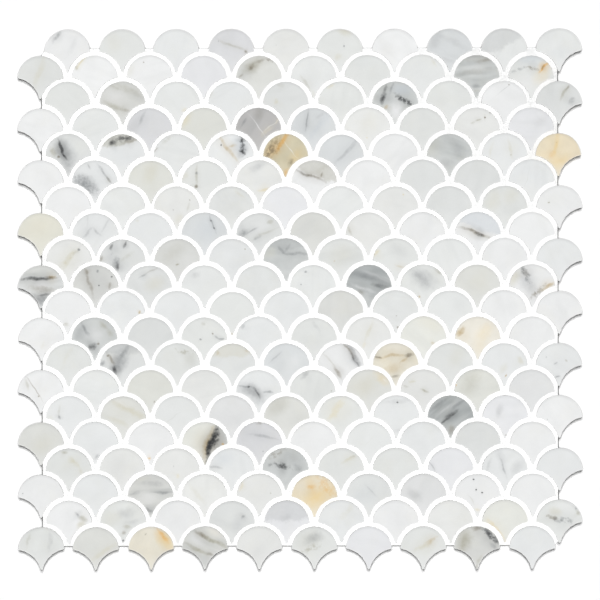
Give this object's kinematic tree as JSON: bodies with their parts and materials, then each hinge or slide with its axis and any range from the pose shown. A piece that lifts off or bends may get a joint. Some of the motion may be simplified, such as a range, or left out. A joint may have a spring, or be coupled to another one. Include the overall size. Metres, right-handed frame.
{
  "type": "fish scale mosaic tile sheet",
  "caption": "Marble fish scale mosaic sheet: fan-shaped scales in half-offset rows on a mesh backing, with interlocking edges for wall and floor tiling.",
  "frame": {"origin": "middle of the sheet's bounding rectangle, on the back of the mesh", "axes": "+X along the rows, to the right as seen from the front; +Y up the wall, the way the round heads point; +Z out of the stone face"},
  "size_m": [0.305, 0.292, 0.01],
  "materials": {
    "marble": "honed",
    "mesh": "woven"
  },
  "bodies": {
    "root": {"scale_row_01": "marble", "scale_row_02": "marble", "scale_row_03": "marble", "scale_row_04": "marble", "scale_row_05": "marble", "scale_row_06": "marble", "scale_row_07": "marble", "scale_row_08": "marble", "scale_row_09": "marble", "scale_row_10": "marble", "scale_row_11": "marble", "scale_row_12": "marble", "scale_row_13": "marble", "scale_row_14": "marble", "scale_row_15": "marble", "scale_row_16": "marble", "scale_row_17": "marble", "scale_row_18": "marble", "scale_row_19": "marble", "scale_row_20": "marble", "mesh_backing": "mesh"}
  },
  "joints": []
}
